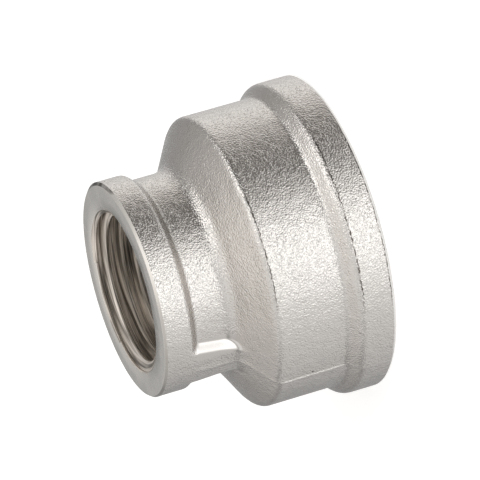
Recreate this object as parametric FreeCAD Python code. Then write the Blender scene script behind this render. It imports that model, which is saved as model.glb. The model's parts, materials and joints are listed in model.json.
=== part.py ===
"""Reducing coupling: a forged and plated socket that joins a 1 inch pipe to a 1/2 inch pipe.

One solid. It stands on its large end at z = 0, and its axis is +Z, towards the small end.
All sizes are in millimetres.
"""
import FreeCAD, Part
import math
import os

from FreeCAD import Vector


def rise(run, angle):
    """Height gained over a run at an angle in degrees."""
    return run * math.tan(math.radians(angle))


# Overall height, from the large end's face to the small end's face
overall_length = 27.8

# Pipe threads to ISO 228, in Whitworth form: the bores are smooth here, at the minor diameters
inch = 25.4
thread_depth_per_pitch = 0.640327
large_thread_major = 33.249
large_threads_per_inch = 11.0
small_thread_major = 20.955
small_threads_per_inch = 14.0

# Walls that the body and the neck leave outside the threads
body_wall = 1.93
neck_wall = 2.27

# Large band, the collar round the large end: how far it stands out, and its width
large_band_height = 1.45
large_band_width = 4.5
large_band_step_angle = 45.0
large_band_crest_radius = 2.0
large_band_foot_radius = 1.5

# Small band, the collar round the small end
small_band_height = 0.95
small_band_width = 3.5
small_band_step_angle = 45.0
small_band_crest_radius = 0.6
small_band_foot_radius = 0.35

# Shoulder between the body and the neck, and the neck's length from the shoulder to the small band
shoulder_angle = 32.5
shoulder_crest_radius = 1.2
shoulder_foot_radius = 2.6
neck_length = 4.65

# Bevels that the turning tool leaves on the outside of the two end faces
large_end_bevel = 0.4
small_end_bevel = 0.35

# Countersinks at the two mouths: how far they open past the thread, and their slope from the face
mouth_clearance = 0.15
mouth_angle = 30.0

# The large bore stops this far short of the shoulder's corner
large_bore_stop = 2.0

# Waterway between the two bores: its ledge below the small bore, its length, and the floors' slopes
waterway_ledge = 0.815
waterway_length = 0.6
large_floor_angle = 20.0
small_floor_angle = 31.0

# Rib on the neck, along the forging's parting plane, on the -X side
rib_thickness = 6.8
rib_crest_radius = 0.4
rib_foot_radius = 0.4

# How deep the rib's root reaches into the neck's wall
rib_root_depth = 1.0

# Radii that follow from the threads, outwards and inwards
large_root = large_thread_major / 2.0
small_root = small_thread_major / 2.0
body = large_root + body_wall
neck = small_root + neck_wall
large_band = body + large_band_height
small_band = neck + small_band_height
large_bore = large_root - thread_depth_per_pitch * inch / large_threads_per_inch
small_bore = small_root - thread_depth_per_pitch * inch / small_threads_per_inch
large_mouth = large_root + mouth_clearance
small_mouth = small_root + mouth_clearance
waterway = small_bore - waterway_ledge

# Heights of the outside, from the small end down to the shoulder and from the large end up
small_step_crest = overall_length - small_band_width
small_step_foot = small_step_crest - rise(small_band_height, small_band_step_angle)
shoulder_foot = small_step_foot - neck_length
shoulder_crest = shoulder_foot - rise(body - neck, shoulder_angle)
large_step_foot = large_band_width + rise(large_band_height, large_band_step_angle)

# Heights of the inside, from the large bore's floor up to the small bore's
large_floor = shoulder_crest - large_bore_stop
waterway_bottom = large_floor + rise(large_bore - waterway, large_floor_angle)
waterway_top = waterway_bottom + waterway_length
small_floor = waterway_top + rise(waterway_ledge, small_floor_angle)


def section_point(radius, height):
    """A point of the section, in the XZ plane."""
    return Vector(radius, 0.0, height)


def corner_arc(before, corner, after, radius):
    """The arc that rounds a corner, as its start, its middle and its end.

    Its tangents take at most nearly half of each neighbouring side.
    """
    back = before - corner
    ahead = after - corner
    half_angle = back.getAngle(ahead) / 2.0
    room = 0.49 * min(back.Length, ahead.Length)
    tangent = min(radius / math.tan(half_angle), room)
    back.normalize()
    ahead.normalize()
    true_radius = tangent * math.tan(half_angle)
    bisector = back + ahead
    bisector.normalize()
    centre = corner + bisector * (true_radius / math.sin(half_angle))
    middle = centre - bisector * true_radius
    return corner + back * tangent, middle, corner + ahead * tangent


def rounded_outline(corners):
    """A closed wire through (point, radius) pairs, each corner rounded by its radius."""
    count = len(corners)
    edges = []
    stops = []
    for index, (point, radius) in enumerate(corners):
        if radius > 0.0:
            before = corners[index - 1][0]
            after = corners[(index + 1) % count][0]
            start, middle, end = corner_arc(before, point, after, radius)
            edges.append(Part.Arc(start, middle, end).toShape())
            stops.append((start, end))
        else:
            stops.append((point, point))
    for index in range(count):
        leave = stops[index][1]
        arrive = stops[(index + 1) % count][0]
        edges.append(Part.LineSegment(leave, arrive).toShape())
    return Part.Wire(Part.__sortEdges__(edges))


def turned(corners):
    """The solid that a section sweeps in one turn about the axis."""
    face = Part.Face(rounded_outline(corners))
    return face.revolve(Vector(0, 0, 0), Vector(0, 0, 1), 360.0)


def outside():
    """The forging's round outside, with no bore in it yet."""
    return turned([
        (section_point(0.0, 0.0), 0.0),
        (section_point(large_band - large_end_bevel, 0.0), 0.0),
        (section_point(large_band, large_end_bevel), 0.0),
        (section_point(large_band, large_band_width), large_band_crest_radius),
        (section_point(body, large_step_foot), large_band_foot_radius),
        (section_point(body, shoulder_crest), shoulder_crest_radius),
        (section_point(neck, shoulder_foot), shoulder_foot_radius),
        (section_point(neck, small_step_foot), small_band_foot_radius),
        (section_point(small_band, small_step_crest), small_band_crest_radius),
        (section_point(small_band, overall_length - small_end_bevel), 0.0),
        (section_point(small_band - small_end_bevel, overall_length), 0.0),
        (section_point(0.0, overall_length), 0.0),
    ])


def rib_section(height):
    """The rib across its length: a crest arc, two flat flanks, and fillets that run out on the neck."""
    half = rib_thickness / 2.0
    root = neck - rib_root_depth

    def at(x, y):
        return Vector(x, y, height)

    corner_x = -math.sqrt((small_band - rib_crest_radius) ** 2 - (half - rib_crest_radius) ** 2)
    corner_angle = math.atan2(half - rib_crest_radius, -corner_x)
    foot_x = -math.sqrt((neck + rib_foot_radius) ** 2 - (half + rib_foot_radius) ** 2)
    foot_angle = math.atan2(half + rib_foot_radius, -foot_x)

    def on_circle(radius, angle, side):
        return at(-radius * math.cos(angle), side * radius * math.sin(angle))

    def corner_middle(side):
        turn = (math.pi / 2.0 + corner_angle) / 2.0
        x = corner_x - rib_crest_radius * math.cos(turn)
        return at(x, side * (half - rib_crest_radius + rib_crest_radius * math.sin(turn)))

    def foot_middle(side):
        turn = (math.pi / 2.0 + foot_angle) / 2.0
        x = foot_x + rib_foot_radius * math.cos(turn)
        return at(x, side * (half + rib_foot_radius - rib_foot_radius * math.sin(turn)))

    crest_ends = [on_circle(small_band, corner_angle, side) for side in (1, -1)]
    edges = [Part.Arc(crest_ends[0], at(-small_band, 0), crest_ends[1]).toShape()]
    for side, crest_end in zip((1, -1), crest_ends):
        flank_top = at(corner_x, side * half)
        flank_foot = at(foot_x, side * half)
        neck_end = on_circle(neck, foot_angle, side)
        root_end = on_circle(root, foot_angle, side)
        edges.append(Part.Arc(crest_end, corner_middle(side), flank_top).toShape())
        edges.append(Part.LineSegment(flank_top, flank_foot).toShape())
        edges.append(Part.Arc(flank_foot, foot_middle(side), neck_end).toShape())
        edges.append(Part.LineSegment(neck_end, root_end).toShape())
    edges.append(Part.LineSegment(on_circle(root, foot_angle, 1), on_circle(root, foot_angle, -1)).toShape())
    return Part.Face(Part.Wire(Part.__sortEdges__(edges)))


def rib():
    """The rib from inside the shoulder up into the small band, whose radius its crest shares."""
    start = (shoulder_crest + shoulder_foot) / 2.0
    end = overall_length - small_band_width / 2.0
    return rib_section(start).extrude(Vector(0, 0, end - start))


def bore():
    """Everything that is drilled and turned out of the forging, as one solid."""
    large_sink = rise(large_mouth - large_bore, mouth_angle)
    small_sink = rise(small_mouth - small_bore, mouth_angle)
    return turned([
        (section_point(0.0, 0.0), 0.0),
        (section_point(large_mouth, 0.0), 0.0),
        (section_point(large_bore, large_sink), 0.0),
        (section_point(large_bore, large_floor), 0.0),
        (section_point(waterway, waterway_bottom), 0.0),
        (section_point(waterway, waterway_top), 0.0),
        (section_point(small_bore, small_floor), 0.0),
        (section_point(small_bore, overall_length - small_sink), 0.0),
        (section_point(small_mouth, overall_length), 0.0),
        (section_point(0.0, overall_length), 0.0),
    ])


def coupling_body():
    """The whole coupling."""
    forging = outside().fuse(rib()).removeSplitter()
    return forging.cut(bore()).removeSplitter()


def single_solid(shape):
    """The one solid of a shape that holds one."""
    if len(shape.Solids) != 1:
        raise ValueError("the coupling came out as %d solids" % len(shape.Solids))
    return shape.Solids[0]


os.makedirs("parts", exist_ok=True)
single_solid(coupling_body()).exportStep("parts/coupling_body.step")
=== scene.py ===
"""Looks of the reducing coupling: a forged and nickel-plated socket with two pipe threads.

Everything is in metres, in the part's own frame: the coupling stands on its large end at z = 0,
and its axis is +Z, towards the small end. The rib on the neck is on -X.
"""
import json
import math

import bmesh
import bpy
import numpy as np
from mathutils import Matrix, Vector, noise


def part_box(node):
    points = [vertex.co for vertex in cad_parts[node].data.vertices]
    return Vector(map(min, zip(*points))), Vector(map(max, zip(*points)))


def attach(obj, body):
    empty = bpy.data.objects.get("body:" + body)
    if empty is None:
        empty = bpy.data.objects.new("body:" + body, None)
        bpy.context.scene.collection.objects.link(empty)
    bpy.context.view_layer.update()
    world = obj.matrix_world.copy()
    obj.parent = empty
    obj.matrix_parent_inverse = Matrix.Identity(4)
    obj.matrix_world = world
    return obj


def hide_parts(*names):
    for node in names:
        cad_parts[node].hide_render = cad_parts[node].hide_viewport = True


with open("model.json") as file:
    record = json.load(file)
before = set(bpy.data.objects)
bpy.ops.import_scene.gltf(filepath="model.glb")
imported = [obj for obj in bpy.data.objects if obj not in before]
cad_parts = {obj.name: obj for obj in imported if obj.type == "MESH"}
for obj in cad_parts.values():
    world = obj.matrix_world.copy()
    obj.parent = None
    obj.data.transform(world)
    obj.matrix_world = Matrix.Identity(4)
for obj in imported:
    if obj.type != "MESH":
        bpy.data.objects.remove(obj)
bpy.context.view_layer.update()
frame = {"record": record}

MM = 0.001
NODE = "coupling_body"

# Sizes read from the frame
LOW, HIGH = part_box(NODE)
LENGTH = HIGH.z - LOW.z
LARGE_BAND = (HIGH.x - LOW.x) / 2
MOUNTS = {mount["name"]: mount for mount in frame["record"]["mounts"]}
LARGE_BORE = MOUNTS["large_thread"]["dims"]["r_mm"] * MM
SMALL_BORE = MOUNTS["small_thread"]["dims"]["r_mm"] * MM

# Pipe threads to ISO 228
INCH = 25.4 * MM
LARGE_PITCH = INCH / 11
SMALL_PITCH = INCH / 14
LARGE_ROOT = 33.249 * MM / 2
SMALL_ROOT = 20.955 * MM / 2

# The forging's outside: radii, heights and slopes
BODY = LARGE_BAND - 1.45 * MM
NECK = SMALL_ROOT + 2.27 * MM
SMALL_BAND = NECK + 0.95 * MM
LARGE_BAND_WIDTH = 4.5 * MM
SMALL_BAND_WIDTH = 3.5 * MM
SHOULDER_HEIGHT = 15.0 * MM
SHOULDER_ANGLE = math.radians(32.5)
STEP_ANGLE = math.radians(45)
LARGE_END_BEVEL = 0.4 * MM
SMALL_END_BEVEL = 0.3 * MM
BEVEL_ANGLE = math.radians(45)

# Radii that round the outside's corners
LARGE_BAND_CREST = 1.2 * MM
LARGE_BAND_FOOT = 0.9 * MM
SHOULDER_CREST = 0.9 * MM
SHOULDER_FOOT = 2.6 * MM
SMALL_BAND_CREST = 0.7 * MM
SMALL_BAND_FOOT = 0.6 * MM

# The most of each neighbouring side that a rounding takes, and the fewest pieces of its arc
SIDE_SHARE = 0.49
LEAST_PIECES = 3

# The rib on the neck: half its width at its middle, and how much that changes towards its two ends
RIB_HALF = 3.05 * MM
RIB_SPREAD = 0.4 * MM

# The width of the rib's flanks, and the rounding where its crest meets the shoulder
RIB_FLANK = 1.05 * MM
RIB_ROUNDING = 1.6 * MM

# The height of the rib's middle, and how far above and below it the rib's width changes
RIB_MIDDLE = 20.8 * MM
RIB_REACH = 2.6 * MM

# From this far below the rib's middle to as far above it, its rounding shrinks to almost nothing
RIB_ROUNDING_FADE = 1.5 * MM
RIB_LEAST_ROUNDING = 0.01 * MM

# The die's hidden half: how much lower it sits than the visible half, how much wider its body is, and
# half the width of the step between the two halves
DIE_DROP = 0.4 * MM
DIE_GROWTH = 0.12 * MM
DIE_STEP = 0.1 * MM

# Distances over which the drop sets in, above the large end and below the small end
DROP_ABOVE = (1.0 * MM, 3.0 * MM)
DROP_BELOW = (0.6 * MM, 2.2 * MM)

# Heights over which the growth sets in, the height where it ends, and the distance over which it ends
GROWTH_START = (5.5 * MM, 7.0 * MM)
GROWTH_END = 17.0 * MM
GROWTH_FADE = 2.0 * MM

# What is left of the trimmed flash along the parting line: its height and half its width
FLASH_HEIGHT = 0.05 * MM
FLASH_WIDTH = 0.42 * MM

# The flash's height is this share of its full height, more or less the waver
FLASH_SHARE = 0.7
FLASH_WAVER = 0.5
WAVER_SIZE = 2.5 * MM
WAVER_SEED = 4

# How far the flash wanders to each side
FLASH_WANDER = 0.10 * MM
WANDER_SIZE = 3.5 * MM
WANDER_SEED = 5

# Shares of the flash's height that are added on the rib, and taken away on the small band, from this far
# below the band
FLASH_ON_RIB = 1.5
FLASH_TRIM = 0.85
TRIM_START = 0.5 * MM

# The skin's soft lumps, as (height in millimetres, size, seed)
SKIN_LUMPS = ((0.002, 1.3 * MM, 1), (0.001, 0.7 * MM, 2), (0.02, 6.0 * MM, 3))

# Distances from each end over which the lumps and the flash set in
SKIN_FADE = (0.4 * MM, 1.0 * MM)

# How far the noise moves from seed to seed, in lumps
SEED_SHIFT = (7.31, 3.17, 5.77)

# The inside: mouths, bores and waterway
MOUTH_CLEARANCE = 0.15 * MM
MOUTH_ANGLE = math.radians(30)
LARGE_DEPTH = 13.0 * MM
SMALL_DEPTH = 11.3 * MM
LARGE_FULL_THREAD = 10.8 * MM
SMALL_FULL_THREAD = 9.6 * MM
WATERWAY = 8.5 * MM
LARGE_FLOOR_ANGLE = math.radians(20)
SMALL_FLOOR_ANGLE = math.radians(31)

# Painted shade: thin dark lines drawn along the crests of the shoulder and the large band and along the
# large end's edge, standing in for dark reflections there: their heights, the side it is on, and how far
# out on that side it starts and is full
CREST_SHADE = (14.62 * MM, 4.14 * MM, 0.48 * MM)
CREST_SHADE_AZIMUTH = math.radians(243)
CREST_SHADE_START = 16.2 * MM
CREST_SHADE_FULL = 17.8 * MM

# Middle of the stretch of the small end's bevel that has dark marks, and how much wider the bevel is there
# and narrower opposite it
MARKED_AZIMUTH = math.radians(-38)
MARKED_WIDENING = 0.09 * MM

# Depth of the first thread crest below each end face, at azimuth 0
SMALL_FIRST_CREST = 1.75 * MM
LARGE_FIRST_CREST = 1.9 * MM

# Mesh density: columns round the axis, and the outside's distance from row to row
COLUMNS = 480
ROW_STEP = 0.36 * MM

# How the columns crowd at the rib's flanks and at the parting line: (how far, how much denser)
FLANK_CROWDING = (math.radians(2.2), 2.2)
PARTING_CROWDING = (math.radians(1.2), 2.6)

# How many azimuths the columns' crowding is added up at
AZIMUTH_SAMPLES = 20001

# Where the columns bend along the rib's flanks: from the shoulder up, from the small end down, and how far
# to each side of a flank
BEND_ABOVE = 2.5 * MM
BEND_BELOW = (1.0 * MM, 3.0 * MM)
BEND_REACH = math.radians(6)

# Points closer than this are welded, and edges sharper than this stay sharp
WELD_DISTANCE = 0.002 * MM
SHARP_ANGLE = math.radians(32)

# The mesh's materials, in their order
FORGED, TURNED, THREADED = 0, 1, 2

# How the faces fall away towards their bevels: (distance from the bevel, drop)
WORN_EDGE = ((0.0, 0.015 * MM), (0.12 * MM, 0.003 * MM), (0.3 * MM, 0.0), (1.3 * MM, 0.0))


def rise(run, angle):
    """Height gained over a run at an angle."""
    return run * math.tan(angle)


def smooth_step(x, low, high):
    """0 below low and 1 above high, with a soft rise between them."""
    t = np.clip((x - low) / (high - low), 0.0, 1.0)
    return t * t * (3.0 - 2.0 * t)


def smooth_max(a, b, width):
    """The larger of a and b, rounded where they are within width of each other."""
    h = np.clip(0.5 + 0.5 * (a - b) / width, 0.0, 1.0)
    return b + (a - b) * h + width * h * (1.0 - h)


def flank_azimuth():
    """How far the rib's flanks are from the -X side, at the rib's middle."""
    return math.asin(RIB_HALF / SMALL_BAND)


def column_angles():
    """Azimuths of the mesh's columns, closer together at the rib's flanks and the parting line."""
    fine = np.linspace(0.0, 2 * math.pi, AZIMUTH_SAMPLES)
    flank = flank_azimuth()
    density = np.ones_like(fine)
    for centre, (width, gain) in (
        (math.pi - flank, FLANK_CROWDING),
        (math.pi + flank, FLANK_CROWDING),
        (math.pi, PARTING_CROWDING),
        (0.0, PARTING_CROWDING),
        (2 * math.pi, PARTING_CROWDING),
    ):
        density += gain * np.exp(-(((fine - centre) / width) ** 2))
    total = np.concatenate([[0.0], np.cumsum((density[1:] + density[:-1]) / 2)])
    angles = np.interp(np.linspace(0.0, total[-1], COLUMNS + 1), total, fine)
    angles[-1] = 2 * math.pi
    return angles


def rounded_section(corners, step):
    """Points along a section of (radius, height, rounding) corners, about step apart."""
    stops = []
    for index, (radius, height, rounding) in enumerate(corners):
        corner = np.array([radius, height])
        if rounding == 0.0:
            stops.append([corner])
            continue
        back = np.array(corners[index - 1][:2]) - corner
        ahead = np.array(corners[index + 1][:2]) - corner
        back_length, ahead_length = np.linalg.norm(back), np.linalg.norm(ahead)
        back, ahead = back / back_length, ahead / ahead_length
        half = math.acos(float(back @ ahead)) / 2
        tangent = min(rounding / math.tan(half), SIDE_SHARE * back_length, SIDE_SHARE * ahead_length)
        rounding = tangent * math.tan(half)
        centre = corner + (back + ahead) / np.linalg.norm(back + ahead) * rounding / math.sin(half)
        first, last = corner + back * tangent - centre, corner + ahead * tangent - centre
        turn = math.pi - 2 * half
        pieces = max(LEAST_PIECES, math.ceil(turn * rounding / step))
        arc = []
        for k in range(pieces + 1):
            t = k / pieces
            spoke = math.sin((1 - t) * turn) * first + math.sin(t * turn) * last
            arc.append(centre + spoke / math.sin(turn))
        stops.append(arc)
    points = list(stops[0])
    for arc in stops[1:]:
        gap = arc[0] - points[-1]
        pieces = max(1, math.ceil(np.linalg.norm(gap) / step))
        start = points[-1]
        points += [start + gap * k / pieces for k in range(1, pieces + 1)]
        points += arc[1:]
    return np.array(points)


def outside_section():
    """The outside's section as points, from the large end's bevel up to the small end's."""
    large_step = LARGE_BAND_WIDTH + rise(LARGE_BAND - BODY, STEP_ANGLE)
    shoulder_foot = SHOULDER_HEIGHT + rise(BODY - NECK, SHOULDER_ANGLE)
    small_step = LENGTH - SMALL_BAND_WIDTH
    return rounded_section([
        (LARGE_BAND, LARGE_END_BEVEL, 0.0),
        (LARGE_BAND, LARGE_BAND_WIDTH, LARGE_BAND_CREST),
        (BODY, large_step, LARGE_BAND_FOOT),
        (BODY, SHOULDER_HEIGHT, SHOULDER_CREST),
        (NECK, shoulder_foot, SHOULDER_FOOT),
        (NECK, small_step - rise(SMALL_BAND - NECK, STEP_ANGLE), SMALL_BAND_FOOT),
        (SMALL_BAND, small_step, SMALL_BAND_CREST),
        (SMALL_BAND, LENGTH - SMALL_END_BEVEL, 0.0),
    ], ROW_STEP)


def lumps(points, size, seed):
    """Smooth noise of about -1 to 1 at each point, for lumps of that size."""
    offset = Vector([seed * shift for shift in SEED_SHIFT])
    return np.array([noise.noise(Vector(p) / size + offset) for p in points])


def bent_columns(section, angles):
    """Azimuths as rows by columns, in which the columns by the rib follow its flanks."""
    radius, height = section[:, 0], section[:, 1]
    beside_rib = smooth_step(height, SHOULDER_HEIGHT, SHOULDER_HEIGHT + BEND_ABOVE)
    beside_rib = beside_rib * smooth_step(LENGTH - height, *BEND_BELOW)
    along = np.clip((height - RIB_MIDDLE) / RIB_REACH, -1.0, 1.0)
    bend = np.arcsin((RIB_HALF + RIB_SPREAD * along) / radius) - flank_azimuth()
    off = angles - math.pi
    near = np.exp(-(((np.abs(off) - flank_azimuth()) / BEND_REACH) ** 2))
    return angles + (beside_rib * bend)[:, None] * np.sign(off) * near


def outside(angles):
    """The forged outside as rows by columns of points: its section, its rib and its skin."""
    section = outside_section()
    tangent = np.gradient(section, axis=0)
    normal = np.stack([tangent[:, 1], -tangent[:, 0]], 1)
    normal /= np.linalg.norm(normal, axis=1, keepdims=True)
    azimuths = bent_columns(section, angles)
    radius = section[:, 0][:, None] * np.ones(len(angles))
    height = section[:, 1][:, None] * np.ones(len(angles))
    up = section[:, 1]
    down = LENGTH - up

    # The die's hidden half sits a little lower than the visible half, and its body is a little wider
    beside = radius * np.sin(azimuths)
    hidden = smooth_step(beside, -DIE_STEP, DIE_STEP)
    forged = smooth_step(up, *DROP_ABOVE) * smooth_step(down, *DROP_BELOW)
    height = height - DIE_DROP * hidden * forged[:, None]
    on_body = smooth_step(up, *GROWTH_START) * smooth_step(GROWTH_END - up, 0.0, GROWTH_FADE)
    radius = radius + DIE_GROWTH * hidden * on_body[:, None]

    # The rib: a bar along the parting plane, flush with the small band and wider beside it
    along = np.clip((height - RIB_MIDDLE) / RIB_REACH, -1.0, 1.0)
    half = RIB_HALF + RIB_SPREAD * along
    across = 1.0 - smooth_step(np.abs(beside), half - RIB_FLANK / 2, half + RIB_FLANK / 2)
    band_middle = LENGTH - SMALL_BAND_WIDTH / 2
    on_rib = (np.cos(azimuths) < 0) & (height > SHOULDER_HEIGHT) & (height < band_middle)
    upper = smooth_step(height, RIB_MIDDLE - RIB_ROUNDING_FADE, RIB_MIDDLE + RIB_ROUNDING_FADE)
    rounding = RIB_ROUNDING * (1.0 - upper) + RIB_LEAST_ROUNDING
    gap = smooth_max(SMALL_BAND - radius, np.zeros_like(radius), rounding)
    radius = radius + np.where(on_rib, np.maximum(gap, 0.0) * across, 0.0)

    points = np.stack([radius * np.cos(azimuths), radius * np.sin(azimuths), height], 2)
    flat = points.reshape(-1, 3)
    bumps = sum(depth * lumps(flat, size, seed) for depth, size, seed in SKIN_LUMPS)
    bumps = bumps.reshape(radius.shape) * MM

    # What is left of the trimmed flash along the parting line
    waver = FLASH_SHARE + FLASH_WAVER * lumps(flat, WAVER_SIZE, WAVER_SEED).reshape(radius.shape)
    wander = FLASH_WANDER * lumps(flat, WANDER_SIZE, WANDER_SEED).reshape(radius.shape)
    ridge = FLASH_HEIGHT * np.exp(-(((beside - wander) / FLASH_WIDTH) ** 2)) * waver
    ridge = ridge * (1.0 + FLASH_ON_RIB * across * on_rib)
    band_foot = LENGTH - SMALL_BAND_WIDTH
    ridge_fade = 1.0 - FLASH_TRIM * smooth_step(up, band_foot - TRIM_START, band_foot)

    # Both fade out before the two bevels
    fade = smooth_step(up, *SKIN_FADE) * smooth_step(down, *SKIN_FADE)
    push = bumps * fade[:, None] + ridge * (fade * ridge_fade)[:, None]
    points[:, :, 0] += push * normal[:, 0][:, None] * np.cos(azimuths)
    points[:, :, 1] += push * normal[:, 0][:, None] * np.sin(azimuths)
    points[:, :, 2] += push * normal[:, 1][:, None]
    return points


# Half of a thread crest's flat, and where the mesh's rows lie, as shares of the pitch from its middle
CREST_HALF = 1 / 12
THREAD_ROWS = (CREST_HALF, 0.25, 0.36, 0.405, 0.45, 0.5, 0.55, 0.595, 0.64, 0.75, 1 - CREST_HALF, 1.0)

# A thread's flank spans a third of the pitch
FLANKS_PER_PITCH = 3

# Share of the groove's depth that is rounded at its root, and how much of that share the curve reaches
ROOT_ROUNDING = 0.14
ROOT_CURVE = 0.82

# Pitches over which a thread runs out at its inner end
RUN_OUT = 0.8

# Turns of rows before a thread's first crest and past its bore's end, so that they cover both
TURNS_BEFORE = 3
TURNS_PAST = 2

# Steps in which the countersink is searched for the places where it cuts the groove, and how far outside
# it a point still counts as on it
COUNTERSINK_STEPS = 400
COUNTERSINK_SLACK = 0.001 * MM


def thread_share(turn):
    """Depth of the groove, from 0 on a crest to nearly 1 at the root, at a share of the pitch."""
    off = np.abs(turn - np.round(turn))
    raw = np.clip((off - CREST_HALF) * FLANKS_PER_PITCH, 0.0, 1.0)
    bent = (raw - (1 - ROOT_ROUNDING)) / ROOT_ROUNDING
    curve = ROOT_ROUNDING * ROOT_CURVE * np.sin(np.clip(bent, 0, 1) * math.pi / 2)
    return np.where(bent > 0, (1 - ROOT_ROUNDING) + curve, raw)


def threaded_bore(angles, crest, root, pitch, first_crest, full_thread, depth):
    """A threaded bore as rows by columns: radius, depth below its end face, and each face's finish.

    Where the countersink cuts the groove, the nearest row of points moves onto the cut.
    """
    mouth = root + MOUTH_CLEARANCE
    slope = math.tan(MOUTH_ANGLE)
    sink = rise(mouth - crest, MOUTH_ANGLE)

    def groove(down, azimuth):
        turn = (down - first_crest) / pitch + azimuth / (2 * math.pi)
        run_out = 1 - smooth_step(down, full_thread, full_thread + pitch * RUN_OUT)
        return crest + (root - crest) * thread_share(turn) * run_out

    def countersink(down):
        return mouth - down / slope

    turns = np.arange(-TURNS_BEFORE, math.ceil(depth / pitch) + TURNS_PAST)
    shares = (turns[:, None] + np.array(THREAD_ROWS)[None, :]).ravel()
    downs = first_crest + shares[:, None] * pitch - pitch * angles[None, :] / (2 * math.pi)
    downs = np.clip(downs, 0.0, depth)
    probe = np.linspace(0.0, sink, COUNTERSINK_STEPS)
    for k, azimuth in enumerate(angles):
        over = countersink(probe) - groove(probe, azimuth)
        crossings = probe[1:][(over[1:] > 0) != (over[:-1] > 0)]
        for crossing in crossings:
            inner = np.where((downs[:, k] > 0) & (downs[:, k] < depth))[0]
            nearest = inner[np.argmin(np.abs(downs[inner, k] - crossing))]
            downs[nearest, k] = crossing
    radius = np.maximum(groove(downs, angles[None, :]), np.maximum(countersink(downs), crest))
    sunk = (radius <= countersink(downs) + COUNTERSINK_SLACK) & (downs <= sink)
    faces = sunk[1:, 1:] & sunk[1:, :-1] & sunk[:-1, 1:] & sunk[:-1, :-1]
    return radius, downs, np.where(faces, TURNED, THREADED)


class Shell:
    """Collects the grids of a closed mesh, and welds them where they meet."""

    def __init__(self):
        self.points = []
        self.faces = []
        self.finish = []

    def add(self, points):
        """Adds points, and gives their places in the list."""
        first = len(self.points)
        self.points += [tuple(p) for p in points]
        return range(first, len(self.points))

    def grid(self, points, finish):
        """Four-sided faces over rows by columns of points, with one finish or one for each face."""
        rows, columns = points.shape[:2]
        finishes = np.broadcast_to(finish, (rows - 1, columns - 1)).tolist()
        first = len(self.points)
        self.points += [tuple(p) for p in points.reshape(-1, 3)]
        for i in range(rows - 1):
            for k in range(columns - 1):
                a = first + i * columns + k
                self.faces.append((a, a + 1, a + columns + 1, a + columns))
                self.finish.append(finishes[i][k])

    def halve(self, fine, coarse, finish):
        """Joins a ring of columns to a ring with half as many."""
        fine, coarse = self.add(fine), self.add(coarse)
        for k in range(len(coarse) - 1):
            a, b, c = fine[2 * k], fine[2 * k + 1], fine[2 * k + 2]
            d, e = coarse[k], coarse[k + 1]
            self.faces += [(a, b, d), (b, e, d), (b, c, e)]
            self.finish += [finish] * 3

    def mesh(self, name):
        """The welded mesh; it prints how many of its edges are open."""
        data = bpy.data.meshes.new(name)
        data.from_pydata(self.points, [], self.faces)
        work = bmesh.new()
        work.from_mesh(data)
        for face, finish in zip(work.faces, self.finish):
            face.material_index = finish
            face.smooth = True
        bmesh.ops.remove_doubles(work, verts=work.verts, dist=WELD_DISTANCE)
        bmesh.ops.recalc_face_normals(work, faces=work.faces)
        open_edges = [e for e in work.edges if len(e.link_faces) != 2]
        print("coupling mesh:", len(work.verts), "points,", len(work.faces), "faces,",
              "open edges:", len(open_edges))
        work.to_mesh(data)
        work.free()
        data.set_sharp_from_angle(angle=SHARP_ANGLE)
        return data


def ring(radius, height, angles):
    """A ring of points at a radius, or at one radius for each azimuth."""
    return np.stack([radius * np.cos(angles), radius * np.sin(angles), np.full_like(angles, height)], 1)


def rings(stations, angles):
    """Rows of points through (radius, height) stations."""
    return np.stack([ring(radius, height, angles) for radius, height in stations])


def as_points(radius, height, angles):
    """Points from rows by columns of radius and height."""
    return np.stack([radius * np.cos(angles), radius * np.sin(angles), height], 2)


def coupling_mesh():
    """The whole coupling as one closed mesh."""
    angles = column_angles()
    inner = angles[::2]
    shell = Shell()
    skin = outside(angles)
    shell.grid(skin, FORGED)

    # End faces and their bevels
    for at_top in (False, True):
        edge = skin[-1] if at_top else skin[0]
        band, bevel = (SMALL_BAND, SMALL_END_BEVEL) if at_top else (LARGE_BAND, LARGE_END_BEVEL)
        root = SMALL_ROOT if at_top else LARGE_ROOT
        face = LENGTH if at_top else 0.0
        mouth = root + MOUTH_CLEARANCE
        inward = -1 if at_top else 1
        lip = band - rise(bevel, BEVEL_ANGLE)
        if at_top:
            lip = lip - MARKED_WIDENING * np.cos(angles - MARKED_AZIMUTH)
        worn = [ring(lip - back, face + inward * drop, angles) for back, drop in WORN_EDGE]
        middle = worn[-1]
        shell.grid(np.stack([edge] + worn), TURNED)
        shell.halve(middle, ring(mouth, face, inner), TURNED)

    # The two threaded bores
    radius, down, finish = threaded_bore(inner, SMALL_BORE, SMALL_ROOT, SMALL_PITCH, SMALL_FIRST_CREST,
                                         SMALL_FULL_THREAD, SMALL_DEPTH)
    shell.grid(as_points(radius, LENGTH - down, inner), finish)
    mirrored = inner[::-1]
    radius, down, finish = threaded_bore(2 * math.pi - mirrored, LARGE_BORE, LARGE_ROOT, LARGE_PITCH,
                                         LARGE_FIRST_CREST, LARGE_FULL_THREAD, LARGE_DEPTH)
    shell.grid(as_points(radius, down, mirrored), finish)

    # The waterway and the two sloping floors
    large_floor = LARGE_DEPTH + rise(LARGE_BORE - WATERWAY, LARGE_FLOOR_ANGLE)
    small_floor = LENGTH - SMALL_DEPTH
    throat = small_floor - rise(SMALL_BORE - WATERWAY, SMALL_FLOOR_ANGLE)
    shell.grid(rings([
        (LARGE_BORE, LARGE_DEPTH),
        ((LARGE_BORE + WATERWAY) / 2, (LARGE_DEPTH + large_floor) / 2),
        (WATERWAY, large_floor),
        (WATERWAY, throat),
        (SMALL_BORE, small_floor),
    ], inner), THREADED)
    return shell.mesh("coupling")


# Sockets of Blender's mix node: its share, and the ones that carry colours
MIX_SHARE = 0
MIX_FIRST_COLOUR = 6
MIX_SECOND_COLOUR = 7
MIX_COLOUR_OUT = 2


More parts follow.
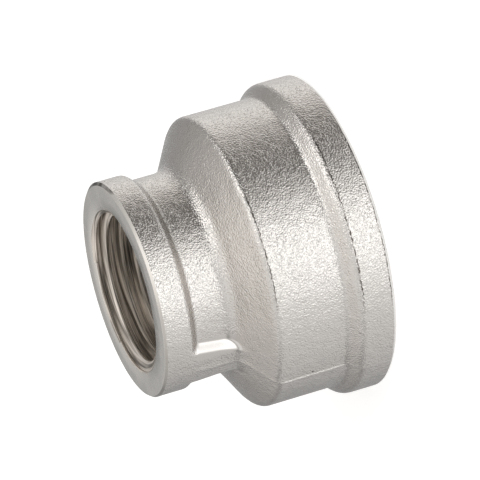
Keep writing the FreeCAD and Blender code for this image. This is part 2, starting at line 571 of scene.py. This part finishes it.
class Nodes:
    """Short calls for building a shader's nodes."""

    def __init__(self, tree):
        self.tree = tree
        tree.nodes.clear()

    def add(self, kind, **values):
        node = self.tree.nodes.new(kind)
        for name, value in values.items():
            setattr(node, name, value)
        return node

    def link(self, source, target):
        self.tree.links.new(source, target)

    def noise(self, coordinates, scale, detail=2.0, roughness=0.5):
        """Smooth noise, mostly between 0.3 and 0.7."""
        node = self.add("ShaderNodeTexNoise")
        node.inputs["Scale"].default_value = scale
        node.inputs["Detail"].default_value = detail
        node.inputs["Roughness"].default_value = roughness
        self.link(coordinates, node.inputs["Vector"])
        return node.outputs["Fac"]

    def ramp(self, value, low, high, dark, light, kind="LINEAR"):
        """value from low to high, turned into a number from dark to light."""
        node = self.add("ShaderNodeMapRange", interpolation_type=kind)
        node.inputs["From Min"].default_value = low
        node.inputs["From Max"].default_value = high
        node.inputs["To Min"].default_value = dark
        node.inputs["To Max"].default_value = light
        self.link(value, node.inputs["Value"])
        return node.outputs["Result"]

    def cells(self, coordinates, scale):
        """Distance from the nearest of many scattered points, in cells."""
        node = self.add("ShaderNodeTexVoronoi")
        node.inputs["Scale"].default_value = scale
        self.link(coordinates, node.inputs["Vector"])
        return node.outputs["Distance"]

    def pits(self, coordinates, scale, reach):
        """Small round hollows: 0 in their middles, and 1 from reach cells away."""
        return self.ramp(self.cells(coordinates, scale), 0.0, reach, 0.0, 1.0, "SMOOTHSTEP")

    def maths(self, operation, first, second=None):
        """An operation on numbers or other nodes' outputs."""
        node = self.add("ShaderNodeMath", operation=operation)
        for socket, value in zip(node.inputs, (first, second)):
            if isinstance(value, float):
                socket.default_value = value
            elif value is not None:
                self.link(value, socket)
        return node.outputs["Value"]

    def times(self, first, second):
        return self.maths("MULTIPLY", first, second)

    def biggest(self, first, second):
        return self.maths("MAXIMUM", first, second)

    def near(self, value, middle, ragged, inner, outer):
        """1 within inner of a middle that ragged moves to and fro, and 0 beyond outer."""
        gap = self.maths("ABSOLUTE", self.maths("ADD", self.maths("SUBTRACT", value, middle), ragged))
        return self.ramp(gap, inner, outer, 1.0, 0.0)

    def dot(self, vector, axis):
        """How far a vector points along an axis."""
        node = self.add("ShaderNodeVectorMath", operation="DOT_PRODUCT")
        node.inputs[1].default_value = axis
        self.link(vector, node.inputs[0])
        return node.outputs["Value"]

    def mix_colour(self, share, first, second):
        """first where share is 0 and second where it is 1; each is a colour or another node's output."""
        node = self.add("ShaderNodeMix", data_type="RGBA")
        self.link(share, node.inputs[MIX_SHARE])
        for place, colour in ((MIX_FIRST_COLOUR, first), (MIX_SECOND_COLOUR, second)):
            if isinstance(colour, tuple):
                node.inputs[place].default_value = (*colour, 1.0)
            else:
                self.link(colour, node.inputs[place])
        return node.outputs[MIX_COLOUR_OUT]

    def bump(self, height, strength, distance, normal=None):
        """Bumps of a height and distance; strength is a number or another node's output."""
        node = self.add("ShaderNodeBump")
        if isinstance(strength, float):
            node.inputs["Strength"].default_value = strength
        else:
            self.link(strength, node.inputs["Strength"])
        node.inputs["Distance"].default_value = distance
        self.link(height, node.inputs["Height"])
        if normal is not None:
            self.link(normal, node.inputs["Normal"])
        return node.outputs["Normal"]

    def metal(self, colour, roughness, normal):
        """Ends a material in bare metal."""
        shader = self.add("ShaderNodeBsdfPrincipled")
        shader.inputs["Metallic"].default_value = 1.0
        self.link(colour, shader.inputs["Base Color"])
        self.link(roughness, shader.inputs["Roughness"])
        self.link(normal, shader.inputs["Normal"])
        output = self.add("ShaderNodeOutputMaterial")
        self.link(shader.outputs["BSDF"], output.inputs["Surface"])


# Colours of the plating: the two ends of its mottle on the skin and on the turned faces, and the dark and
# the bright of the tool's lines in the threads
SKIN_COLOURS = ((0.665, 0.642, 0.612), (0.69, 0.662, 0.637))
FACE_COLOURS = ((0.90, 0.885, 0.85), (0.93, 0.91, 0.875))
THREAD_COLOURS = ((0.24, 0.22, 0.193), (1.0, 0.94, 0.87))

# Colours of the painted shade lines on the crests and of the small specks, of the dark marks on the small
# end's bevel, and of the painted shade on that end's rib side
SHADE_AND_SPECK_COLOUR = (0.09, 0.075, 0.065)
BEVEL_MARK_COLOUR = (0.10, 0.09, 0.08)
SHADED_SIDE_COLOUR = (0.62, 0.6, 0.57)

# The two ends of each finish's roughness
SKIN_ROUGHNESS = (0.18, 0.23)
FACE_ROUGHNESS = (0.2, 0.3)
THREAD_ROUGHNESS = (0.35, 0.45)

# The skin's grain: how many lumps, beads and pits lie along a metre, and their heights
FINE_LUMPS = 5000.0
FINE_HEIGHT = 0.08 * MM
BEADS = 4200.0
BEAD_HEIGHT = 0.034 * MM
PITS = 3800.0
PIT_HEIGHT = 0.024 * MM

# How far a pit reaches, in cells, and the patches where the pits are: how many lie along a metre, the
# noise over which a patch sets in, and the pits' depth outside and inside it
PIT_REACH = 0.4
PIT_PATCHES = 800.0
PIT_PATCH_EDGE = (0.42, 0.6)
PIT_PATCH_DEPTH = (0.1, 1.0)

# More of the skin, along a metre: clouds of duller plating, and tints
CLOUDS = 1500.0
TINTS = 160.0
TINT_EDGE = (0.35, 0.65)

# Share of the grain's height that is left on the rib's flanks
FLANK_GRAIN = 0.0

# Where that is so: distances to each side of a flank, past the rib's reach and out on the rib's side
FLANK_ACROSS = (0.8 * MM, 1.3 * MM)
FLANK_PAST = 0.6 * MM
FLANK_OUT = (8.0 * MM, 9.0 * MM)

# The painted shade lines on the crests: waves of their edges along a metre, how far the edges wander, the
# distances where a line is full and where it ends, the noise that breaks it, and its least strength there
SHADE_WAVES = 2200.0
SHADE_WANDER = 0.09 * MM
SHADE_ACROSS = (0.03 * MM, 0.10 * MM)
SHADE_BREAK = (0.42, 0.5)
SHADE_LEAST = 0.35

# Specks: how many could lie along a metre, their size in cells, the patches where they are, the noise over
# which a patch sets in, and how dark they are
SPECKS = 260.0
SPECK_EDGE = (0.025, 0.045)
SPECK_PATCHES = 210.0
SPECK_PATCH_EDGE = (0.56, 0.6)
SPECK_STRENGTH = 0.8

# The faint mottle of the turned faces: how much of it lies along a metre, its strength and its height
FACE_MOTTLE = 500.0
FACE_BUMP = 0.25
FACE_HEIGHT = 0.02 * MM

# The small end's bevel, as depths below the end face: where it starts and where it has surely ended
BEVEL_START = (0.03 * MM, 0.02 * MM)
BEVEL_END = (1.0 * MM, 0.9 * MM)

# How far out on the rib's side that bevel and the mouth are darkened by painted shade
SHADED_SIDE_OUT = (3.0 * MM, 10.0 * MM)

# Its stretch of dark marks, as shares of the small band's radius, and the marks: how many lie along a
# metre, the noise over which one sets in, and the dark's strength in it and outside it
MARKED_OUT = (0.90, 0.94)
BEVEL_MARKS = 330.0
BEVEL_MARK_EDGE = (0.44, 0.54)
BEVEL_MARK_STRENGTH = (1.0, 0.45)

# The tool's lines in the threads: how many lie along a metre, their roughness as noise, how they stretch,
# where one turns from dark to bright, and their height
TOOL_LINES = 4600.0
TOOL_LINE_NOISE = 0.6
TOOL_LINE_STRETCH = (0.02, 0.02, 1.0)
TOOL_LINE_EDGE = (0.4, 0.6)
TOOL_LINE_HEIGHT = 0.045 * MM

# The mottle of the threads' roughness, along a metre
THREAD_MOTTLE = 700.0

# Noise lies mostly between these
MOST_NOISE = (0.3, 0.7)

# Directions: up the axis, across the parting plane, and towards the rib
UPWARD = (0.0, 0.0, 1.0)
SIDEWARD = (0.0, 1.0, 0.0)
RIB_WARD = (-1.0, 0.0, 0.0)


def level_direction(azimuth):
    """The level direction at an azimuth."""
    return (math.cos(azimuth), math.sin(azimuth), 0.0)


def new_material(name):
    """An empty material, and the calls that build its nodes."""
    material = bpy.data.materials.new(name)
    material.use_nodes = True
    return material, Nodes(material.node_tree)


def object_coordinates(nodes):
    """Places on the part, in metres."""
    return nodes.add("ShaderNodeTexCoord").outputs["Object"]


def forged_nickel():
    """Sand-blasted forging skin under nickel: a close grain of lumps, beads and pits."""
    material, nodes = new_material("forged_nickel")
    place = object_coordinates(nodes)
    fine = nodes.noise(place, FINE_LUMPS, 1.0)
    beads = nodes.cells(place, BEADS)
    cloud = nodes.noise(place, CLOUDS, 1.0)
    patches = nodes.ramp(nodes.noise(place, PIT_PATCHES, 1.0), *PIT_PATCH_EDGE, *PIT_PATCH_DEPTH)
    pits = nodes.times(nodes.pits(place, PITS, PIT_REACH), patches)
    tint = nodes.noise(place, TINTS)
    clean = nodes.mix_colour(nodes.ramp(tint, *TINT_EDGE, 0.0, 1.0), *SKIN_COLOURS)

    # Thin broken lines of painted shade along the crests
    height = nodes.dot(place, UPWARD)
    ragged = nodes.ramp(nodes.noise(place, SHADE_WAVES, 1.0), *MOST_NOISE, -SHADE_WANDER, SHADE_WANDER)
    broken = nodes.ramp(cloud, *SHADE_BREAK, SHADE_LEAST, 1.0)
    outward = nodes.dot(place, level_direction(CREST_SHADE_AZIMUTH))
    side = nodes.ramp(outward, CREST_SHADE_START, CREST_SHADE_FULL, 0.0, 1.0)
    lines = 0.0
    for crest in CREST_SHADE:
        lines = nodes.biggest(nodes.near(height, crest, ragged, *SHADE_ACROSS), lines)
    painted_shade_and_specks = nodes.times(nodes.times(side, broken), lines)

    # A few small dark specks
    speck = nodes.ramp(nodes.cells(place, SPECKS), *SPECK_EDGE, 1.0, 0.0)
    seldom = nodes.ramp(nodes.noise(place, SPECK_PATCHES, 1.0), *SPECK_PATCH_EDGE, 0.0, SPECK_STRENGTH)
    painted_shade_and_specks = nodes.biggest(painted_shade_and_specks, nodes.times(speck, seldom))
    # The painted shade lines and the specks darken the skin's colour
    colour = nodes.mix_colour(painted_shade_and_specks, clean, SHADE_AND_SPECK_COLOUR)
    roughness = nodes.ramp(cloud, *MOST_NOISE, *SKIN_ROUGHNESS)

    # The rib's flanks are smooth
    beside = nodes.maths("ABSOLUTE", nodes.dot(place, SIDEWARD))
    flank = nodes.near(beside, RIB_HALF, 0.0, *FLANK_ACROSS)
    level = nodes.near(height, RIB_MIDDLE, 0.0, RIB_REACH, RIB_REACH + FLANK_PAST)
    rib_side = nodes.ramp(nodes.dot(place, RIB_WARD), *FLANK_OUT, 0.0, 1.0)
    smooth = nodes.times(nodes.times(flank, level), rib_side)
    strength = nodes.ramp(smooth, 0.0, 1.0, 1.0, FLANK_GRAIN)
    normal = nodes.bump(fine, strength, FINE_HEIGHT)
    normal = nodes.bump(beads, strength, BEAD_HEIGHT, normal)
    normal = nodes.bump(pits, strength, PIT_HEIGHT, normal)
    nodes.metal(colour, roughness, normal)
    return material


def turned_nickel():
    """Turned end faces, bevels and mouths: smooth and faintly mottled nickel."""
    material, nodes = new_material("turned_nickel")
    place = object_coordinates(nodes)
    mottle = nodes.noise(place, FACE_MOTTLE)
    clean = nodes.mix_colour(nodes.ramp(mottle, *MOST_NOISE, 0.0, 1.0), *FACE_COLOURS)

    # Painted shade: the small end's bevel and mouth are darker on the rib's side
    height = nodes.dot(place, UPWARD)
    below_face = nodes.ramp(height, *[LENGTH - depth for depth in BEVEL_START], 1.0, 0.0)
    at_small_end = nodes.ramp(height, *[LENGTH - depth for depth in BEVEL_END], 0.0, 1.0)
    bevel = nodes.times(below_face, at_small_end)
    rib_side = nodes.ramp(nodes.dot(place, RIB_WARD), *SHADED_SIDE_OUT, 0.0, 1.0)
    clean = nodes.mix_colour(nodes.times(bevel, rib_side), clean, SHADED_SIDE_COLOUR)

    # The stretch of that bevel that has broken dark marks
    outward = nodes.dot(place, level_direction(MARKED_AZIMUTH))
    near = nodes.ramp(outward, *[SMALL_BAND * share for share in MARKED_OUT], 0.0, 1.0)
    marks = nodes.ramp(nodes.noise(place, BEVEL_MARKS, 1.0), *BEVEL_MARK_EDGE, *BEVEL_MARK_STRENGTH)
    marked = nodes.times(nodes.times(bevel, near), marks)
    colour = nodes.mix_colour(marked, clean, BEVEL_MARK_COLOUR)

    roughness = nodes.ramp(mottle, *MOST_NOISE, *FACE_ROUGHNESS)
    normal = nodes.bump(mottle, FACE_BUMP, FACE_HEIGHT)
    nodes.metal(colour, roughness, normal)
    return material


def threaded_nickel():
    """The cut threads, where the plating is thin and the tool has left fine lines."""
    material, nodes = new_material("threaded_nickel")
    place = object_coordinates(nodes)
    mottle = nodes.noise(place, THREAD_MOTTLE)
    stretch = nodes.add("ShaderNodeMapping")
    stretch.inputs["Scale"].default_value = TOOL_LINE_STRETCH
    nodes.link(place, stretch.inputs["Vector"])
    lines = nodes.noise(stretch.outputs["Vector"], TOOL_LINES, roughness=TOOL_LINE_NOISE)
    colour = nodes.mix_colour(nodes.ramp(lines, *TOOL_LINE_EDGE, 0.0, 1.0), *THREAD_COLOURS)
    roughness = nodes.ramp(mottle, *MOST_NOISE, *THREAD_ROUGHNESS)
    normal = nodes.bump(lines, 1.0, TOOL_LINE_HEIGHT)
    nodes.metal(colour, roughness, normal)
    return material


def make_coupling():
    """The coupling's one piece, with its materials."""
    mesh = coupling_mesh()
    for material in (forged_nickel(), turned_nickel(), threaded_nickel()):
        mesh.materials.append(material)
    piece = bpy.data.objects.new("coupling", mesh)
    bpy.context.scene.collection.objects.link(piece)
    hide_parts(NODE)
    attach(piece, "root")
    return piece


# The camera: where it stands from the part, how it is turned, its lens and sensor in millimetres, and
# the distances between which it sees
CAMERA_AZIMUTH = math.radians(240.1)
CAMERA_ELEVATION = math.radians(16.67)
CAMERA_ROLL = math.radians(-106.16)
CAMERA_DISTANCE = 563.4 * MM
FOCAL_LENGTH = 339.8
SENSOR_WIDTH = 36.0
CLIP_START = 0.05
CLIP_END = 10.0

# Where the part's origin lies from the picture's middle
ORIGIN_RIGHT = 11.27 * MM
ORIGIN_DOWN = -1.23 * MM


def make_camera():
    """The photo's camera."""
    data = bpy.data.cameras.new("camera")
    data.lens = FOCAL_LENGTH
    data.sensor_width = SENSOR_WIDTH
    data.clip_start = CLIP_START
    data.clip_end = CLIP_END
    camera = bpy.data.objects.new("camera", data)
    bpy.context.scene.collection.objects.link(camera)
    level = math.cos(CAMERA_ELEVATION)
    back = Vector((
        level * math.cos(CAMERA_AZIMUTH),
        level * math.sin(CAMERA_AZIMUTH),
        math.sin(CAMERA_ELEVATION),
    ))
    upright = (-back).to_track_quat("-Z", "Y").to_matrix()
    turned = upright @ Matrix.Rotation(CAMERA_ROLL, 3, "Z")
    right, up = turned.col[0], turned.col[1]
    place = back * CAMERA_DISTANCE - right * ORIGIN_RIGHT + up * ORIGIN_DOWN
    camera.matrix_world = Matrix.Translation(place) @ turned.to_4x4()
    bpy.context.scene.camera = camera


# Studio light from level with the part and below, as (azimuth in degrees, brightness, warmth)
LOW_LIGHT = (
    (-180, 0.84, 0.2), (-168, 1.0, 0.1), (-154, 1.5, 0.0), (-130, 2.05, 0.0), (-108, 1.85, 0.0),
    (-90, 0.95, 0.2), (-75, 0.25, 0.8), (-60, 0.12, 1.0), (-42, 0.12, 1.0), (-26, 0.32, 1.0),
    (-8, 0.92, 0.7), (12, 1.35, 0.3), (30, 0.72, 0.1), (50, 0.6, 0.0), (65, 0.42, 0.0), (80, 0.33, 0.0),
    (100, 0.46, 0.0), (130, 0.66, 0.2), (155, 0.72, 0.2), (180, 0.84, 0.2),
)

# Light from above, as (height of its direction, brightness, warmth): from the camera's side of the part,
# to its right and its left, and from behind the part, to the camera's right and left
RIGHT_LIGHT = (
    (0.0, 0.3, 0.5), (0.1, 0.08, 0.6), (0.28, 0.1, 0.6), (0.37, 0.6, 0.3), (0.46, 2.0, 0.1),
    (0.68, 2.2, 0.1), (0.78, 1.1, 0.1), (0.84, 0.85, 0.2), (0.95, 1.02, 0.4), (1.0, 1.2, 0.6),
)
LEFT_LIGHT = (
    (0.0, 1.0, 0.1), (0.1, 0.6, 0.3), (0.25, 0.5, 0.3), (0.4, 0.9, 0.1), (0.65, 0.95, 0.1),
    (0.9, 0.86, 0.4), (1.0, 1.2, 0.6),
)
BACK_RIGHT_LIGHT = (
    (0.0, 0.24, 0.2), (0.19, 0.3, 0.2), (0.28, 0.42, 0.2), (0.4, 0.43, 0.3), (0.57, 0.46, 0.4),
    (0.73, 0.52, 0.5), (0.83, 0.58, 0.6), (0.906, 0.74, 0.7), (0.96, 0.92, 0.6), (1.0, 1.4, 0.5),
)
BACK_LEFT_LIGHT = (
    (0.0, 0.3, 0.2), (0.19, 0.24, 0.2), (0.28, 0.41, 0.2), (0.4, 0.5, 0.3), (0.485, 0.58, 0.4),
    (0.62, 0.6, 0.5), (0.73, 0.64, 0.6), (0.83, 0.66, 0.7), (0.906, 0.7, 0.7), (0.96, 0.76, 0.6),
    (1.0, 1.2, 0.5),
)

# Light from below, and the brightness that the light's colours are shares of
BOTTOM_LIGHT = 0.85
BRIGHTEST = 2.8

# How much red, green and blue a light of full warmth lacks
WARM_LOSS = (0.0, 0.06, 0.12)

# Where the lights blend, as how far their direction points to the right, to the camera or up
FRONT_BLEND = (0.0, 0.35)
BACK_BLEND = (-0.25, 0.25)
DEPTH_BLEND = (-0.15, 0.2)
LIFT_BLEND = (-0.12, 0.12)
BOTTOM_BLEND = (-0.7, -0.38)


def light_ramp(nodes, value, stops):
    """A ramp through (place from 0 to 1, brightness, warmth) stops, as shares of the brightest."""
    ramp = nodes.add("ShaderNodeValToRGB")
    ramp.color_ramp.interpolation = "LINEAR"
    elements = ramp.color_ramp.elements
    while len(elements) > 1:
        elements.remove(elements[-1])
    elements[0].position = stops[0][0]
    for place, _, _ in stops[1:]:
        elements.new(place)
    for element, (place, level, warmth) in zip(elements, stops):
        share = level / BRIGHTEST
        element.position = place
        element.color = (*[share * (1 - loss * warmth) for loss in WARM_LOSS], 1.0)
    nodes.link(value, ramp.inputs["Fac"])
    return ramp.outputs["Color"]


def make_world():
    """The studio that the metal reflects, and the white background that the camera sees."""
    world = bpy.data.worlds.new("studio")
    bpy.context.scene.world = world
    world.use_nodes = True
    nodes = Nodes(world.node_tree)
    direction = nodes.add("ShaderNodeTexCoord").outputs["Generated"]
    gradient = nodes.add("ShaderNodeTexGradient", gradient_type="RADIAL")
    nodes.link(direction, gradient.inputs["Vector"])
    stops = [((azimuth + 180) / 360, level, warmth) for azimuth, level, warmth in LOW_LIGHT]
    low = light_ramp(nodes, gradient.outputs["Fac"], stops)
    parts = nodes.add("ShaderNodeSeparateXYZ")
    nodes.link(direction, parts.inputs["Vector"])
    up = parts.outputs["Z"]
    to_right = nodes.dot(direction, (-math.sin(CAMERA_AZIMUTH), math.cos(CAMERA_AZIMUTH), 0.0))
    to_camera = nodes.dot(direction, level_direction(CAMERA_AZIMUTH))

    def blend(value, ends, first, second):
        """first up to where value is the first of ends, and second from the other on."""
        return nodes.mix_colour(nodes.ramp(value, *ends, 0.0, 1.0), first, second)

    # Four lights from above: to the left and right, on the camera's side and behind the part
    right, left, back_right, back_left = [
        light_ramp(nodes, up, light)
        for light in (RIGHT_LIGHT, LEFT_LIGHT, BACK_RIGHT_LIGHT, BACK_LEFT_LIGHT)
    ]
    front = blend(to_right, FRONT_BLEND, left, right)
    back = blend(to_right, BACK_BLEND, back_left, back_right)
    high = blend(to_camera, DEPTH_BLEND, back, front)

    # The light all round, and an even light from below
    bottom = (BOTTOM_LIGHT / BRIGHTEST,) * 3
    under = blend(up, BOTTOM_BLEND, bottom, low)
    studio = nodes.add("ShaderNodeBackground")
    studio.inputs["Strength"].default_value = BRIGHTEST
    nodes.link(blend(up, LIFT_BLEND, under, high), studio.inputs["Color"])
    backdrop = nodes.add("ShaderNodeBackground")
    backdrop.inputs["Color"].default_value = (1.0, 1.0, 1.0, 1.0)
    mix = nodes.add("ShaderNodeMixShader")
    nodes.link(nodes.add("ShaderNodeLightPath").outputs["Is Camera Ray"], mix.inputs["Fac"])
    nodes.link(studio.outputs["Background"], mix.inputs[1])
    nodes.link(backdrop.outputs["Background"], mix.inputs[2])
    output = nodes.add("ShaderNodeOutputWorld")
    nodes.link(mix.outputs["Shader"], output.inputs["Surface"])


# The floor: half its side, its colour, and the glow that brings it up to the white background
FLOOR_HALF = 1.5
FLOOR_COLOUR = (0.9, 0.9, 0.9, 1.0)
FLOOR_GLOW = 0.42


def make_floor():
    """A plain pale floor that shows the part's shadow and stays out of the metal's reflections."""
    data = bpy.data.meshes.new("floor")
    work = bmesh.new()
    sides = ((-1, -1), (1, -1), (1, 1), (-1, 1))
    work.faces.new([work.verts.new((x * FLOOR_HALF, y * FLOOR_HALF, 0.0)) for x, y in sides])
    work.to_mesh(data)
    work.free()
    material, nodes = new_material("pale_floor")
    diffuse = nodes.add("ShaderNodeBsdfDiffuse")
    diffuse.inputs["Color"].default_value = FLOOR_COLOUR
    glow = nodes.add("ShaderNodeEmission")
    glow.inputs["Strength"].default_value = FLOOR_GLOW
    total = nodes.add("ShaderNodeAddShader")
    mix = nodes.add("ShaderNodeMixShader")
    nodes.link(diffuse.outputs["BSDF"], total.inputs[0])
    nodes.link(glow.outputs["Emission"], total.inputs[1])
    nodes.link(nodes.add("ShaderNodeLightPath").outputs["Is Camera Ray"], mix.inputs["Fac"])
    nodes.link(diffuse.outputs["BSDF"], mix.inputs[1])
    nodes.link(total.outputs["Shader"], mix.inputs[2])
    output = nodes.add("ShaderNodeOutputMaterial")
    nodes.link(mix.outputs["Shader"], output.inputs["Surface"])
    data.materials.append(material)
    floor = bpy.data.objects.new("floor", data)
    floor.visible_glossy = False
    floor.visible_shadow = False
    bpy.context.scene.collection.objects.link(floor)


make_camera()
make_world()
make_floor()
make_coupling()

bpy.context.scene.view_settings.view_transform = "Standard"
